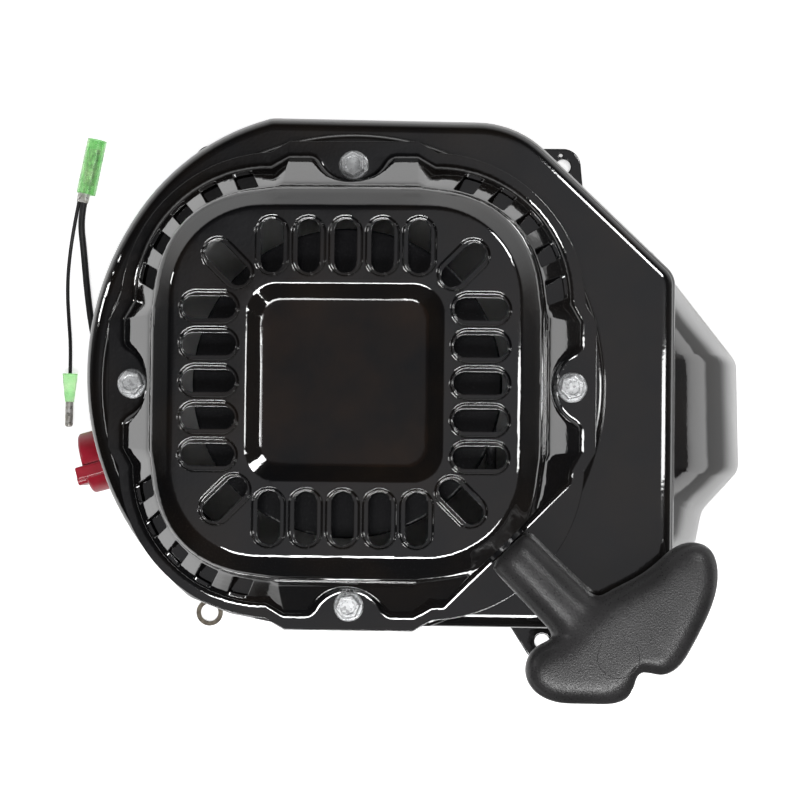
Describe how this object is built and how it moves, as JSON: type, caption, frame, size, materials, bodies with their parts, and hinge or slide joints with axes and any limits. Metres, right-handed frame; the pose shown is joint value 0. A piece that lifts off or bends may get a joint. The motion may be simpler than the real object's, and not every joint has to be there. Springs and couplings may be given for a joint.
{
  "type": "recoil starter with blower housing",
  "caption": "Recoil starter with a T-grip pull handle, bolted on the sheet-metal blower housing of a small petrol engine, with a stop switch and its leads.",
  "frame": {"origin": "on the crankshaft's axis, in the plane of the blower housing's open rear rim, on which the part stands", "axes": "+Z along the shaft, out of the front of the starter; +X to the side of the housing's air duct; +Y up, across the line of the duct"},
  "size_m": [0.3218, 0.2608, 0.119],
  "materials": {
    "housing_paint": "gloss black enamel on pressed steel",
    "cover_paint": "gloss black enamel on pressed steel",
    "zinc_bolt": "bright zinc plate",
    "weld_nut": "plain steel, lightly painted over",
    "bare_steel": "bare turned or pressed steel",
    "spring_steel": "blued spring steel, oiled",
    "rope": "braided nylon cord",
    "guide_plastic": "moulded nylon",
    "switch_black": "moulded plastic",
    "tinned": "tinned brass",
    "lead_black": "black PVC sleeving",
    "sleeve_green": "translucent green vinyl",
    "reel_plastic": "glass-filled nylon",
    "pawl_steel": "sintered steel",
    "handle_plastic": "fine-grained moulded rubbery plastic",
    "knob_red": "red moulded plastic"
  },
  "bodies": {
    "housing": {"blower_housing": "housing_paint", "ear_top_right": "housing_paint", "ear_top_left": "housing_paint", "ear_lower_right": "housing_paint", "recoil_cover": "cover_paint", "flange_bolt_1": "zinc_bolt", "flange_bolt_2": "zinc_bolt", "flange_bolt_3": "zinc_bolt", "flange_bolt_4": "zinc_bolt", "weld_nut_1": "weld_nut", "weld_nut_2": "weld_nut", "weld_nut_3": "weld_nut", "weld_nut_4": "weld_nut", "centre_post": "bare_steel", "centre_screw": "bare_steel", "recoil_spring": "spring_steel", "rope_run": "rope", "rope_guide": "guide_plastic", "switch_bezel": "switch_black", "switch_body": "switch_black", "switch_terminal_1": "tinned", "switch_terminal_2": "tinned", "terminal_crimp_1": "tinned", "terminal_crimp_2": "tinned", "lead_sleeved": "lead_black", "lead_splice": "tinned", "female_terminal": "tinned", "female_sleeve": "sleeve_green", "lead_branch": "lead_black", "male_boot": "sleeve_green", "male_bullet": "tinned", "ring_terminal": "tinned", "lead_ground": "lead_black"},
    "reel": {"reel": "reel_plastic", "rope_on_reel": "rope", "pawl_pin_1": "bare_steel", "pawl_pin_2": "bare_steel"},
    "friction_plate": {"friction_plate": "bare_steel", "friction_spring": "spring_steel"},
    "pawl_1": {"pawl_1": "pawl_steel"},
    "pawl_2": {"pawl_2": "pawl_steel"},
    "handle": {"handle_grip": "handle_plastic", "knot_washer": "bare_steel", "rope_tail": "rope"},
    "knob": {"stop_knob": "knob_red"}
  },
  "joints": [
    {"name": "reel_spin", "type": "hinge", "parent": "housing", "child": "reel", "pos_m": [0, 0, 0.096], "axis": [0, 0, 1], "range_deg": [-740, 0], "stiffness_Nm_per_rad": 0.04, "springref_deg": 458.37},
    {"name": "plate_turn", "type": "hinge", "parent": "reel", "child": "friction_plate", "pos_m": [0, 0, 0.08], "axis": [0, 0, 1], "range_deg": [0, 20]},
    {"name": "pawl_1_swing", "type": "hinge", "parent": "reel", "child": "pawl_1", "pos_m": [0, 0.03, 0.085], "axis": [0, 0, 1], "range_deg": [0, 25.1]},
    {"name": "pawl_2_swing", "type": "hinge", "parent": "reel", "child": "pawl_2", "pos_m": [0, -0.03, 0.085], "axis": [0, 0, 1], "range_deg": [0, 25.1]},
    {"name": "handle_pull", "type": "slide", "parent": "housing", "child": "handle", "axis": [0.7071, -0.7071, 0], "range_m": [0, 0.75]},
    {"name": "knob_turn", "type": "hinge", "parent": "housing", "child": "knob", "pos_m": [-0.11559, -0.03315, 0.034], "axis": [-0.9613, -0.2756, 0], "range_deg": [0, 60]}
  ],
  "couplings": [
    {"joint": "handle_pull", "follows": "reel_spin", "m_per_rad": -0.058},
    {"joint": "pawl_1_swing", "follows": "plate_turn", "ratio": 1.25},
    {"joint": "pawl_2_swing", "follows": "plate_turn", "ratio": 1.25}
  ]
}
